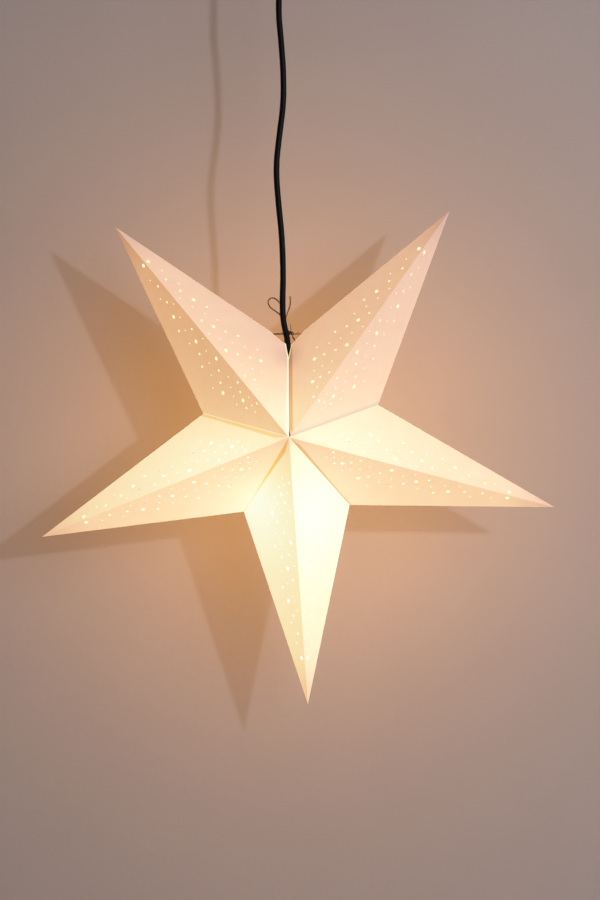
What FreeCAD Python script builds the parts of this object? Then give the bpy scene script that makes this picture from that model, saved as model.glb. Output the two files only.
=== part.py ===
import FreeCAD, Part
import math
import os

# Hanging star lantern of folded and perforated card, lit by a bulb in a pendant lamp holder.
# Millimetres. The origin is the middle of the ceiling face that carries the whole lantern,
# +Z is up, X runs across the star and the star's front looks along -Y.

V = FreeCAD.Vector

# ---------------------------------------------------------------- the star
TIP_RADIUS = 300.0        # star middle to each tip, for a star 60 cm across
NOTCH_RADIUS = 100.5      # star middle to each notch between two points
HALF_DEPTH = 85.0         # middle plane to the raised centre, front and back alike
CARD = 0.5                # card thickness
OPEN_END = 1.3            # the hollow of a point runs on past its open base, by this factor
STAR_MIDDLE = V(14.0, 0.0, -537.0)

# Directions of the tips and of the seams between them, in degrees anticlockwise from +X as
# seen from the front. Every point is the same sheet; the two beside the open top seam stand
# a little wider than the glued ones.
POINTS = {
    "point_top_right": {"seam_before": 19.1, "tip": 54.8, "seam_after": 92.1},
    "point_top_left": {"seam_before": 92.1, "tip": 130.4, "seam_after": 166.8},
    "point_left": {"seam_before": 166.8, "tip": 202.3, "seam_after": 238.1},
    "point_bottom": {"seam_before": 238.1, "tip": 273.4, "seam_after": 309.4},
    "point_right": {"seam_before": 309.4, "tip": 344.6, "seam_after": 379.1},
}
ORDER = list(POINTS)

# glue flanges: a strip along each base edge, glued under the next point's panel
FLANGE_WIDTH = 5.5
FLANGE_START = 8.0        # along the seam, measured from the raised centre
FLANGE_FULL = 18.0
FLANGE_TAPER = 92.0
FLANGE_END = 106.0
FLANGE_TAIL = FLANGE_WIDTH / 3
FLANGE_ROOT = 0.5         # reach of a flange back over the seam, to the bend it hangs from
FREE_FLANGE_START = 0.6   # at the open seam the flange is folded flat under its own panel
FOLD_BORDER = 1.2         # width of the doubled bend that joins a flange to its own panel
LAYER_BITE = 0.1          # overlap that makes two glued layers of one sheet a single solid

# glue tab that closes each sheet along its back ridge
TAB_WIDTH = 8.0
TAB_START = 0.12          # along the ridge, as a share of its length from the centre
TAB_END = 0.90

# cut corners at the top notch, which leave a way in for the lamp holder's cord
CUT_ON_CREASE = {"point_top_left": 25.0, "point_top_right": 22.8}   # from the notch, along each crease
CUT_ON_SEAM = 20.0        # from the notch, along the seam towards the raised centre
TIE_HEIGHT = 110.8        # twine and its two punched holes, above the star's middle
TIE_HOLE_RADIUS = 1.6
TIE_HOLE_OUT = 4.0        # from each cut corner, sideways into the sheet

# ---------------------------------------------------------------- the perforations
# Each panel carries the same scatter: the holes step evenly in area from tip to centre, and
# a golden-ratio step across the panel keeps neighbours apart. Every other place is punched,
# one in three of those with the larger punch; the places between hold only fine pinpricks.
SCATTER = 36
SCATTER_FROM_TIP = 0.12   # nearest hole to the tip, as a share of the ridge
SCATTER_REACH = 0.73
SCATTER_POWER = 0.6
GOLDEN = 0.6180339887
RIDGE_MARGIN = 5.0        # first row to the ridge
BAND = 0.56               # share of the panel's width that is perforated
LARGE_PUNCH = 2.2         # radii
SMALL_PUNCH = 1.4

# ---------------------------------------------------------------- lamp holder and bulb
LAMP_OFFSET = -4.0        # lamp axis to the star's middle, along X
HOLDER_TOP = 81.0         # heights here are above the star's middle
HOLDER_JOINT = 54.0
HOLDER_BOTTOM = 16.0
HOLDER_RADIUS = 21.0
HOLDER_WALL = 2.0
SHOULDER = 10.0           # rounded shoulder that the star's top seam rests on
BODY_STEP = 0.5           # the lower body is this much slimmer than the cap above it
BODY_SKIRT = 6.0          # straight part of the lower body, under the joint
BODY_EDGE = 0.8           # rounding of its lower rim
NECK_HEIGHT = 9.0         # neck of the lower body, inside the cap
MOUTH_CHAMFER = (1.5, 4.0)
SCREW_RADIUS = 13.2       # outside of the bulb's 27 mm screw cap
SEAT_RADIUS = SCREW_RADIUS + 1.3

BLOCK_BOTTOM = 44.0
BLOCK_TOP = 57.0
BLOCK_STEP = (2.0, 4.0)   # recess round the top of the ceramic block
WELL_OUT = 9.0            # terminal wells, each side of the lamp axis
WELL_RADIUS = 2.5
WELL_DEPTH = 6.0
WIRE_RADIUS = 1.6

SHELL_GAP = 0.25          # screw shell to the bulb's screw cap
SHELL_WALL = 0.75
SHELL_HEIGHT = 22.0
SHELL_PLAIN = (2.0, 4.0)  # plain ends of the shell, below and above its thread
THREAD_PITCH = 3.6
THREAD_RISE = 0.25

LEAF = 0.5                # sheet of the sprung centre contact
LEAF_WIDTH = 6.0
LEAF_DROP = 1.9

BULB_RADIUS = 30.0
BULB_MIDDLE = -38.0
CAP_TOP = BLOCK_BOTTOM - 4
CAP_TIP = (4.5, 1.6)      # soldered tip of the cap: radius and height
CAP_INSULATOR = 5.5
CAP_SHOULDER = (10.0, 1.5)
CAP_THREAD_TOP = 4.0
COLLAR_TOP = HOLDER_BOTTOM - 2
COLLAR_HEIGHT = 6.0
COLLAR_FLARE = (0.8, 1.4)
ENVELOPE_MEETS = 28.0     # degrees up the round envelope, where its straight neck meets it

GRIP_HEIGHT = 8.0
GRIP_RADIUS = 7.5
GRIP_NOSE = 6.0
GRIP_COLLAR = 3.0
GRIP_EDGE = 0.8
STEM_RADIUS = 5.0
STEM_LENGTH = 7.0
STEM_GAP = 0.1
POCKET_DEPTH = 6.0
CORE_BORE = 2.2
NUT_CORNER = 8.0
NUT_HEIGHT = 3.0

# ---------------------------------------------------------------- cord and ceiling fitting
CORD_RADIUS = 3.25
CORD_CLEARANCE = 0.05
CUP_RADIUS = 40.0
CUP_DEPTH = 28.0
CUP_WALL = 1.2
CUP_CORNER = 9.0
STRAP_WIDTH = 16.0
STRAP_THICKNESS = 1.5
STRAP_HALF = 37.0
STRAP_LEG = 14.0
CEILING_SCREW_SPACING = 40.0
CEILING_SCREW_RADIUS = 2.5
CUP_SCREW_DROP = 8.0
CUP_SCREW_RADIUS = 1.5
CUP_SCREW_GAP = 0.1
CUP_SCREW_INSIDE = 4.0    # length of the screw inside the strap's leg
SCREW_DOME = 4.0          # radius of the ball its head is cut from
SCREW_DOME_SINK = 2.0
TERMINAL_SIZE = (18.0, 14.0, 11.0)
TERMINAL_POLE = 4.5       # each pole, from the block's middle
TERMINAL_BORE = 1.8
TERMINAL_BORE_DROP = 7.5
TERMINAL_SCREW_RADIUS = 1.6
TERMINAL_SCREW_DEPTH = 4.0
TERMINAL_SCREW_OUT = 3.5

# Route of the cord, from the holder's grip up to the ceiling fitting: a heavy cord that
# keeps a slow wave from its coil. Points are relative to the star's middle.
CORD_ROUTE = [
    (-4.0, 0.0, 83.0), (-4.0, 0.0, 95.0), (-5.2, -4.0, 108.0), (-9.2, -5.8, 124.0),
    (-10.2, -5.6, 144.0), (-9.2, -4.6, 176.0), (-10.6, -3.4, 216.0), (-14.6, -2.4, 254.0),
    (-17.6, -1.6, 292.0), (-13.4, -1.0, 330.0), (-9.0, -0.6, 362.0), (-9.2, -0.3, 398.0),
    (-11.6, -0.2, 430.0), (-14.4, -0.1, 458.0), (-14.0, 0.0, 484.0), (-14.0, 0.0, 507.0),
]

# The tie: one length of twine across the top notch, knotted behind each fold, with a bow.
TWINE_RADIUS = 0.75
KNOT_RADIUS = 1.9
STOP_RADIUS = 2.3         # knots that stop the twine behind the two holes
STOP_GAP = 0.05           # between such a knot and the card it bears on
KNOT = (-0.6, 0.3, TIE_HEIGHT)
BOW_LOOP = [
    (-1.5, 1.4, 111.5), (-5.6, 1.9, 123.0), (-11.5, 2.2, 132.5), (-18.5, 1.6, 136.2),
    (-24.8, 0.8, 140.0), (-26.9, 0.6, 147.2), (-22.6, 0.8, 151.6), (-16.2, 1.8, 149.6),
    (-10.2, 3.4, 140.6), (-3.4, 4.8, 124.5), (0.6, 1.6, 111.6),
]
LONG_TAIL = [
    (-1.0, -0.4, 111.8), (-2.4, -0.4, 123.6), (-3.6, 0.2, 132.0), (-2.6, 0.8, 142.0),
    (-2.0, 1.2, 150.5),
]
SHORT_TAIL = [(0.6, -0.3, 112.0), (0.5, -0.9, 117.5), (-0.2, -1.4, 122.5)]
LOW_TAIL = [(0.3, 0.9, 110.0), (3.0, 2.9, 105.2), (-0.8, 3.8, 99.8)]


def vec(point):
    return V(*point)


def around_star(point):
    return STAR_MIDDLE + vec(point)


def polar(radius, degrees):
    """A point of the star's middle plane, seen from the front."""
    angle = math.radians(degrees)
    return STAR_MIDDLE + V(radius * math.cos(angle), 0, radius * math.sin(angle))


def unit(vector):
    return vector / vector.Length


def solid_of(triangles):
    faces = [Part.Face(Part.makePolygon(list(corners) + [corners[0]])) for corners in triangles]
    solid = Part.Solid(Part.Shell(faces))
    if solid.Volume < 0:
        solid.reverse()
    return solid


def plate(corners, depth):
    """A flat outline pushed along depth."""
    return Part.Face(Part.makePolygon(list(corners) + [corners[0]])).extrude(depth)


def wedge(tip, front, before, back, after):
    """The closed form of one point of the star, from its tip to the seams."""
    return solid_of([
        (tip, front, before), (tip, after, front), (tip, before, back), (tip, back, after),
        (front, after, back), (front, back, before),
    ])


class Panel:
    """One flat triangular panel between its ridge (centre to tip) and its seam (centre to
    notch), with its inward normal."""

    def __init__(self, tip, centre, notch):
        self.tip, self.centre, self.notch = tip, centre, notch
        self.length = (tip - centre).Length
        self.along = unit(tip - centre)
        across = notch - centre
        self.notch_along = across.dot(self.along)
        across = across - self.along * self.notch_along
        self.notch_across = across.Length
        self.across = unit(across)
        self.inward = unit((tip - centre).cross(notch - centre))
        if self.inward.dot(STAR_MIDDLE - centre) < 0:
            self.inward = -self.inward
        self.seam = unit(across + self.along * self.notch_along)
        self.from_seam = self.inward.cross(self.seam)
        if self.from_seam.dot(self.along) < 0:
            self.from_seam = -self.from_seam

    def edge(self, distance):
        """Width of the panel, from ridge to outer edge, at a distance from the centre."""
        if distance < self.notch_along:
            return self.notch_across * distance / self.notch_along
        return self.notch_across * (self.length - distance) / (self.length - self.notch_along)

    def at(self, distance, width):
        return self.centre + self.along * distance + self.across * width


def scatter(panel):
    """Places and sizes of the punched holes on one panel."""
    for i in range(0, SCATTER, 2):
        share = (i + 0.5) / SCATTER
        from_tip = SCATTER_FROM_TIP + SCATTER_REACH * share ** SCATTER_POWER
        distance = panel.length * (1 - from_tip)
        band = BAND * panel.edge(distance) - RIDGE_MARGIN
        width = RIDGE_MARGIN + band * (i * GOLDEN % 1)
        yield distance, width, LARGE_PUNCH if i % 6 == 0 else SMALL_PUNCH


def punches(panel):
    """Round punches that pass through the card of one panel."""
    return [Part.makeCylinder(radius, 4 * CARD, panel.at(distance, width) - panel.inward * CARD,
                              panel.inward) for distance, width, radius in scatter(panel)]


def seam_strip(panel, start, inset):
    """A flange lying on a panel's inner face along its seam, from start to FLANGE_WIDTH in."""
    seam, into = panel.seam, panel.from_seam
    base = panel.centre + panel.inward * inset
    corners = [
        base + seam * FLANGE_START + into * start,
        base + seam * FLANGE_FULL + into * FLANGE_WIDTH,
        base + seam * FLANGE_TAPER + into * FLANGE_WIDTH,
        base + seam * FLANGE_END + into * FLANGE_TAIL,
        base + seam * FLANGE_END + into * start,
    ]
    return plate(corners, panel.inward * CARD)


def fold_border(panel, inset):
    """The bend of a flange: a narrow doubling of its own panel along the seam."""
    seam, into = panel.seam, panel.from_seam
    base = panel.centre + panel.inward * inset
    corners = [
        base + seam * FLANGE_START - into * FOLD_BORDER,
        base + seam * FLANGE_START + into * FOLD_BORDER,
        base + seam * FLANGE_END + into * FOLD_BORDER,
        base + seam * FLANGE_END - into * FOLD_BORDER,
    ]
    return plate(corners, panel.inward * (2 * CARD - inset))


def ridge_tab(panel):
    """The glue tab inside the back ridge."""
    inset = CARD / 2
    base = panel.centre + panel.inward * inset
    start = panel.length * TAB_START
    end = panel.length * TAB_END
    corners = [
        base + panel.along * start,
        base + panel.along * (start + TAB_WIDTH) + panel.across * TAB_WIDTH,
        base + panel.along * (end - 2 * TAB_WIDTH) + panel.across * TAB_WIDTH,
        base + panel.along * end,
    ]
    return plate(corners, panel.inward * (2 * CARD - inset))


FRONT = STAR_MIDDLE + V(0, -HALF_DEPTH, 0)
BACK = STAR_MIDDLE + V(0, HALF_DEPTH, 0)


def corners_of(name):
    place = POINTS[name]
    tip = polar(TIP_RADIUS, place["tip"])
    before = polar(NOTCH_RADIUS, place["seam_before"])
    after = polar(NOTCH_RADIUS, place["seam_after"])
    return tip, before, after


def inner_wedge(tip, before, after):
    """The hollow of one point: the same wedge with every panel moved in by the card."""
    planes = [Panel(tip, FRONT, before), Panel(tip, FRONT, after)]
    ends = [before - tip, after - tip]
    # inner creases lie in the middle plane, each moved in from its own fold
    starts = []
    for panel, end in zip(planes, ends):
        inward = V(panel.inward.x, 0, panel.inward.z)
        starts.append(tip + unit(inward) * (CARD / inward.Length))
    a, b = unit(ends[0]), unit(ends[1])
    gap = starts[1] - starts[0]
    cross = a.x * b.z - a.z * b.x
    inner_tip = starts[0] + a * ((gap.x * b.z - gap.z * b.x) / cross)
    moved = [inner_tip + (corner - tip) * OPEN_END for corner in (FRONT, before, BACK, after)]
    return wedge(inner_tip, *moved)


def notch_cut(name):
    """The part of a sheet above its cut corner at the open top seam, and its tie hole."""
    tip, before, after = corners_of(name)
    notch = after if name == "point_top_right" else before
    on_crease = notch + unit(tip - notch) * CUT_ON_CREASE[name]
    front = notch + unit(FRONT - notch) * CUT_ON_SEAM
    back = notch + unit(BACK - notch) * CUT_ON_SEAM
    outward = unit(notch - STAR_MIDDLE) * (2 * CUT_ON_CREASE[name])
    corner = solid_of([
        (on_crease, front, back),
        (on_crease + outward, back + outward, front + outward),
        (on_crease, on_crease + outward, front + outward),
        (on_crease, front + outward, front),
        (front, front + outward, back + outward),
        (front, back + outward, back),
        (back, back + outward, on_crease + outward),
        (back, on_crease + outward, on_crease),
    ])
    hole = tie_hole(name)
    bore = Part.makeCylinder(TIE_HOLE_RADIUS, HALF_DEPTH, hole - V(0, HALF_DEPTH / 2, 0), V(0, 1, 0))
    return [corner, bore]


def tie_hole(name):
    """Middle of the hole that the twine is tied in, level with the other sheet's hole."""
    tip, before, after = corners_of(name)
    notch = after if name == "point_top_right" else before
    corner = notch + unit(tip - notch) * CUT_ON_CREASE[name]
    outward = 1 if tip.x > notch.x else -1
    return V(corner.x + outward * TIE_HOLE_OUT, 0, STAR_MIDDLE.z + TIE_HEIGHT)


def folded_point(name):
    tip, before, after = corners_of(name)
    outer = wedge(tip, FRONT, before, BACK, after)
    sheet = outer.cut(inner_wedge(tip, before, after))
    follower = ORDER[(ORDER.index(name) + 1) % len(ORDER)]
    next_tip = corners_of(follower)[0]
    extras = [ridge_tab(Panel(tip, BACK, after))]
    for centre in (FRONT, BACK):
        own = Panel(tip, centre, after)
        if name == "point_top_right":
            extras.append(seam_strip(own, FREE_FLANGE_START, CARD - LAYER_BITE))
        else:
            extras.append(seam_strip(Panel(next_tip, centre, after), -FLANGE_ROOT, CARD))
            extras.append(fold_border(own, CARD / 2).common(outer))
    tools = []
    for centre in (FRONT, BACK):
        for notch in (before, after):
            tools.extend(punches(Panel(tip, centre, notch)))
    if name in ("point_top_left", "point_top_right"):
        tools.extend(notch_cut(name))
    return sheet.multiFuse(extras).cut(tools)


def round_tube(points, radius):
    """A tube along straight runs joined by tangent arcs, as large as the runs allow."""
    points = [around_star(p) for p in points]
    edges = []
    radii = []
    here = points[0]
    for before, corner, after in zip(points, points[1:], points[2:]):
        come, leave = unit(corner - before), unit(after - corner)
        turn = come.getAngle(leave)
        back = 0.45 * min((corner - before).Length, (after - corner).Length)
        radii.append(back / math.tan(turn / 2))
        enter, exit_ = corner - come * back, corner + leave * back
        inside = unit(leave - come)
        middle = corner + inside * (radii[-1] / math.cos(turn / 2) - radii[-1])
        edges.append(Part.LineSegment(here, enter).toShape())
        edges.append(Part.Arc(enter, middle, exit_).toShape())
        here = exit_
    edges.append(Part.LineSegment(here, points[-1]).toShape())
    path = Part.Wire(edges)
    start = points[1] - points[0]
    ring = Part.Wire([Part.makeCircle(radius, points[0], start)])
    tube = path.makePipeShell([ring], True, False)
    return tube, radii, path.Length


def turned(profile, middle):
    """A solid of revolution about a vertical axis. A profile lists (radius, height) corners;
    a third number makes that corner a tangent arc of that radius."""
    corners = [middle + V(p[0], 0, p[1]) for p in profile]
    count = len(profile)
    edges = []
    first = here = None
    for i, point in enumerate(profile):
        corner = corners[i]
        if len(point) == 2:
            enter = leave = corner
        else:
            come = unit(corner - corners[i - 1])
            go = unit(corners[(i + 1) % count] - corner)
            turn = come.getAngle(go)
            back = point[2] * math.tan(turn / 2)
            enter, leave = corner - come * back, corner + go * back
            inside = unit(go - come)
            top = corner + inside * (point[2] / math.cos(turn / 2) - point[2])
        if here is not None and (enter - here).Length > 1e-6:
            edges.append(Part.LineSegment(here, enter).toShape())
        if len(point) == 3:
            edges.append(Part.Arc(enter, top, leave).toShape())
        if first is None:
            first = enter
        here = leave
    edges.append(Part.LineSegment(here, first).toShape())
    return Part.Face(Part.Wire(edges)).revolve(middle, V(0, 0, 1), 360)


LAMP = STAR_MIDDLE + V(LAMP_OFFSET, 0, 0)


def holder_cap():
    outer, inner = HOLDER_RADIUS, HOLDER_RADIUS - HOLDER_WALL
    return turned([
        (inner, HOLDER_JOINT), (outer, HOLDER_JOINT), (outer, HOLDER_TOP, SHOULDER),
        (STEM_RADIUS, HOLDER_TOP), (STEM_RADIUS, HOLDER_TOP - HOLDER_WALL),
        (inner, HOLDER_TOP - HOLDER_WALL, SHOULDER - HOLDER_WALL),
    ], LAMP)


def holder_body():
    """Lower body: a tapered skirt round the bulb's cap, and the neck that the cap turns onto."""
    outer = HOLDER_RADIUS - BODY_STEP
    neck = HOLDER_RADIUS - HOLDER_WALL
    flare, rise = MOUTH_CHAMFER
    neck_top = HOLDER_JOINT + NECK_HEIGHT
    return turned([
        (SEAT_RADIUS, HOLDER_BOTTOM + rise), (SEAT_RADIUS + flare, HOLDER_BOTTOM),
        (neck, HOLDER_BOTTOM, BODY_EDGE), (outer, HOLDER_JOINT - BODY_SKIRT),
        (outer, HOLDER_JOINT), (neck, HOLDER_JOINT), (neck, neck_top),
        (neck - HOLDER_WALL, neck_top), (neck - HOLDER_WALL, BLOCK_BOTTOM),
        (SEAT_RADIUS, BLOCK_BOTTOM),
    ], LAMP)


def contact_block():
    """Ceramic block with two terminal wells and the holes that let the cord's cores in."""
    outer = HOLDER_RADIUS - 2 * HOLDER_WALL
    step, drop = BLOCK_STEP
    body = turned([
        (0, BLOCK_BOTTOM), (outer, BLOCK_BOTTOM), (outer, BLOCK_TOP - drop),
        (outer - step, BLOCK_TOP - drop), (outer - step, BLOCK_TOP), (0, BLOCK_TOP),
    ], LAMP)
    wells = []
    for side in (-WELL_OUT, WELL_OUT):
        well = LAMP + V(side, 0, BLOCK_TOP - WELL_DEPTH)
        wells.append(Part.makeCylinder(WELL_RADIUS, WELL_DEPTH, well, V(0, 0, 1)))
        entry = LAMP + V(side, 0, BLOCK_TOP - WELL_DEPTH / 2)
        wells.append(Part.makeCylinder(WIRE_RADIUS, outer, entry, V(0, -1, 0)))
    return body.cut(wells)


def screw_shell():
    """Brass sleeve with the rolled thread that takes the bulb's screw cap."""
    inner = SCREW_RADIUS + SHELL_GAP
    outer = inner + SHELL_WALL
    top = BLOCK_BOTTOM
    plain_below, plain_above = SHELL_PLAIN
    profile = [(inner, top - SHELL_HEIGHT), (outer, top - SHELL_HEIGHT)]
    root = top - SHELL_HEIGHT + plain_below
    while root < top - plain_above:
        profile += [(outer, root), (outer + THREAD_RISE, root + THREAD_PITCH / 2)]
        root += THREAD_PITCH
    profile += [(outer, top), (inner, top)]
    return turned(profile, LAMP)


def centre_contact():
    """Sprung brass tongue that the bulb's tip presses on: riveted flat, then cranked down."""
    fixed, crank_out, crank_in, free = 9.0, 3.5, 1.5, -4.0
    upper, lower = BLOCK_BOTTOM, BLOCK_BOTTOM - LEAF_DROP
    leaf = [
        (-1, upper), (fixed, upper), (fixed, upper - LEAF), (crank_out, upper - LEAF),
        (crank_in, lower - LEAF), (free, lower - LEAF), (free, lower), (1.1, lower),
    ]
    corners = [LAMP + V(x, -LEAF_WIDTH / 2, z) for x, z in leaf]
    return plate(corners, V(0, LEAF_WIDTH, 0))


def cord_grip(middle, up):
    """Clamping grip: a tapered nose, a collar and a threaded stem with its bore."""
    pocket = CORD_RADIUS + CORD_CLEARANCE
    stem = STEM_RADIUS - STEM_GAP
    profile = [
        (pocket, GRIP_HEIGHT), (GRIP_NOSE, GRIP_HEIGHT, GRIP_EDGE), (GRIP_RADIUS, GRIP_COLLAR),
        (GRIP_RADIUS, 0), (stem, 0), (stem, -STEM_LENGTH), (CORE_BORE, -STEM_LENGTH),
        (CORE_BORE, GRIP_HEIGHT - POCKET_DEPTH), (pocket, GRIP_HEIGHT - POCKET_DEPTH),
    ]
    grip = turned(profile, middle)
    if not up:
        grip = grip.mirror(middle, V(0, 0, 1))
    return grip


def grip_nut(middle):
    """Hexagon nut on a grip's stem."""
    angles = [math.radians(60 * k) for k in range(6)]
    corners = [middle + V(NUT_CORNER * math.cos(a), NUT_CORNER * math.sin(a), 0) for a in angles]
    nut = plate(corners, V(0, 0, -NUT_HEIGHT))
    return nut.cut(Part.makeCylinder(STEM_RADIUS, NUT_HEIGHT, middle, V(0, 0, -1)))


def bulb():
    """Sealed bulb: contact tip, screw cap, tapered collar and round envelope, in one piece."""
    tip, tip_height = CAP_TIP
    shoulder, shoulder_drop = CAP_SHOULDER
    collar, skirt = COLLAR_FLARE
    meets = math.radians(ENVELOPE_MEETS)
    outline = [
        (0, CAP_TOP + tip_height), (tip, CAP_TOP + tip_height), (CAP_INSULATOR, CAP_TOP),
        (shoulder, CAP_TOP - shoulder_drop), (SCREW_RADIUS, CAP_TOP - CAP_THREAD_TOP),
        (SCREW_RADIUS, COLLAR_TOP + 1), (SCREW_RADIUS + collar, COLLAR_TOP),
        (SCREW_RADIUS + skirt, COLLAR_TOP - COLLAR_HEIGHT),
        (BULB_RADIUS * math.cos(meets), BULB_MIDDLE + BULB_RADIUS * math.sin(meets)),
    ]
    points = [LAMP + V(r, 0, h) for r, h in outline]
    edges = [Part.LineSegment(a, b).toShape() for a, b in zip(points, points[1:])]
    side = math.radians(-30)
    middle = LAMP + V(BULB_RADIUS * math.cos(side), 0, BULB_MIDDLE + BULB_RADIUS * math.sin(side))
    bottom = LAMP + V(0, 0, BULB_MIDDLE - BULB_RADIUS)
    edges.append(Part.Arc(points[-1], middle, bottom).toShape())
    edges.append(Part.LineSegment(bottom, points[0]).toShape())
    return Part.Face(Part.Wire(edges)).revolve(LAMP, V(0, 0, 1), 360)


def knot_at(point, radius):
    return Part.makeSphere(radius, around_star(point), V(0, 1, 0))


def stop_knot(name):
    """Middle of the knot that bears on the back of a sheet at its tie hole."""
    tip, before, after = corners_of(name)
    panel = Panel(tip, BACK, after if name == "point_top_right" else before)
    hole = tie_hole(name)
    normal = panel.inward
    face = -((hole.x - tip.x) * normal.x + (hole.z - tip.z) * normal.z) / normal.y
    behind = face + (STOP_RADIUS + STOP_GAP) / abs(normal.y)
    return hole.x - STAR_MIDDLE.x, behind, TIE_HEIGHT


def twine_tie():
    left, right = stop_knot("point_top_left"), stop_knot("point_top_right")
    across = [
        left, (left[0] + 0.2, 0, TIE_HEIGHT), (right[0] - 0.2, 0, TIE_HEIGHT), right,
    ]
    pieces = [round_tube(route, TWINE_RADIUS)[0]
              for route in (across, BOW_LOOP, LONG_TAIL, SHORT_TAIL, LOW_TAIL)]
    for middle in (left, right):
        pieces.append(knot_at(middle, STOP_RADIUS))
    tie = knot_at(KNOT, KNOT_RADIUS)
    for piece in pieces:
        tie = tie.fuse(piece)
    return tie


def cord():
    tube, radii, length = round_tube(CORD_ROUTE, CORD_RADIUS)
    print("cord radii", [round(r) for r in radii], "length", round(length, 1))
    print("cord volume", round(tube.Volume), "section x length",
          round(math.pi * CORD_RADIUS ** 2 * length))
    return tube


CUP_FLOOR = V(0, 0, -CUP_DEPTH)


def ceiling_cup():
    outer, inner = CUP_RADIUS, CUP_RADIUS - CUP_WALL
    shell = turned([
        (outer, 0), (outer, -CUP_DEPTH, CUP_CORNER), (STEM_RADIUS, -CUP_DEPTH),
        (STEM_RADIUS, CUP_WALL - CUP_DEPTH), (inner, CUP_WALL - CUP_DEPTH, CUP_CORNER - CUP_WALL),
        (inner, 0),
    ], V(0, 0, 0))
    bore = Part.makeCylinder(CUP_SCREW_RADIUS + CUP_SCREW_GAP, 3 * CUP_RADIUS,
                             V(-1.5 * CUP_RADIUS, 0, -CUP_SCREW_DROP), V(1, 0, 0))
    return shell.cut(bore)


def ceiling_strap():
    """Bar screwed to the ceiling, with turned-down ends that the cup's screws pull on."""
    half, deep, thick = STRAP_HALF, STRAP_LEG, STRAP_THICKNESS
    outline = [
        V(-half, 0, 0), V(half, 0, 0), V(half, 0, -deep), V(half - thick, 0, -deep),
        V(half - thick, 0, -thick), V(thick - half, 0, -thick), V(thick - half, 0, -deep),
        V(-half, 0, -deep),
    ]
    strap = plate([p - V(0, STRAP_WIDTH / 2, 0) for p in outline], V(0, STRAP_WIDTH, 0))
    tools = [Part.makeCylinder(CUP_SCREW_RADIUS, 3 * half, V(-1.5 * half, 0, -CUP_SCREW_DROP),
                               V(1, 0, 0))]
    for side in (-1, 1):
        top = V(side * CEILING_SCREW_SPACING / 2, 0, 0)
        tools.append(Part.makeCylinder(CEILING_SCREW_RADIUS, thick, top, V(0, 0, -1)))
    return strap.cut(tools)


def cup_screws():
    """The two side screws that hold the cup to the strap's ends."""
    length = CUP_SCREW_INSIDE + CUP_RADIUS - STRAP_HALF
    screws = []
    for side in (-1, 1):
        outward = V(side, 0, 0)
        axis = V(0, 0, -CUP_SCREW_DROP)
        start = axis + outward * (STRAP_HALF - CUP_SCREW_INSIDE)
        shank = Part.makeCylinder(CUP_SCREW_RADIUS, length, start, outward)
        ball = Part.makeSphere(SCREW_DOME, axis + outward * (CUP_RADIUS - SCREW_DOME_SINK))
        outside = Part.makeCylinder(SCREW_DOME, SCREW_DOME, axis + outward * CUP_RADIUS, outward)
        screws.append(shank.fuse(ball.common(outside)))
    return Part.makeCompound(screws)


def terminal_block():
    """Two-pole screw terminal under the strap, where the cord's cores meet the mains."""
    width, deep, high = TERMINAL_SIZE
    bottom = -STRAP_THICKNESS - high
    block = Part.makeBox(width, deep, high, V(-width / 2, -deep / 2, bottom))
    tools = []
    for pole in (-TERMINAL_POLE, TERMINAL_POLE):
        front = V(pole, -deep / 2, -STRAP_THICKNESS - TERMINAL_BORE_DROP)
        tools.append(Part.makeCylinder(TERMINAL_BORE, deep, front, V(0, 1, 0)))
        for y in (-TERMINAL_SCREW_OUT, TERMINAL_SCREW_OUT):
            tools.append(Part.makeCylinder(TERMINAL_SCREW_RADIUS, TERMINAL_SCREW_DEPTH,
                                           V(pole, y, bottom), V(0, 0, 1)))
    return block.cut(tools)


NODES = {name: folded_point(name) for name in ORDER}
NODES.update({
    "twine_tie": twine_tie(),
    "bulb": bulb(),
    "holder_body": holder_body(),
    "holder_cap": holder_cap(),
    "contact_block": contact_block(),
    "screw_shell": screw_shell(),
    "centre_contact": centre_contact(),
    "lamp_cord_grip": cord_grip(LAMP + V(0, 0, HOLDER_TOP), True),
    "lamp_grip_nut": grip_nut(LAMP + V(0, 0, HOLDER_TOP - HOLDER_WALL)),
    "cord": cord(),
    "ceiling_cup": ceiling_cup(),
    "ceiling_strap": ceiling_strap(),
    "cup_screws": cup_screws(),
    "terminal_block": terminal_block(),
    "ceiling_cord_grip": cord_grip(CUP_FLOOR, False),
})

os.makedirs("parts", exist_ok=True)
for name, shape in NODES.items():
    shape.exportStep("parts/" + name + ".step")
    print(name, shape.isValid(), len(shape.Solids), round(shape.Volume, 1), len(shape.Faces))
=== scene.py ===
# %% [markdown]
# # A paper star lantern, one finish at a time
# The lantern is five folded sheets of pricked card, tied over a lamp holder that hangs on its
# own cord. Its frame comes from CAD at real size, in metres. This file gives each piece the
# surface that the real one has, and never moves a CAD part.

# %% Load the frame
import math

import bpy
import numpy as np
from mathutils import Euler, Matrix, Vector, geometry, kdtree


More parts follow.
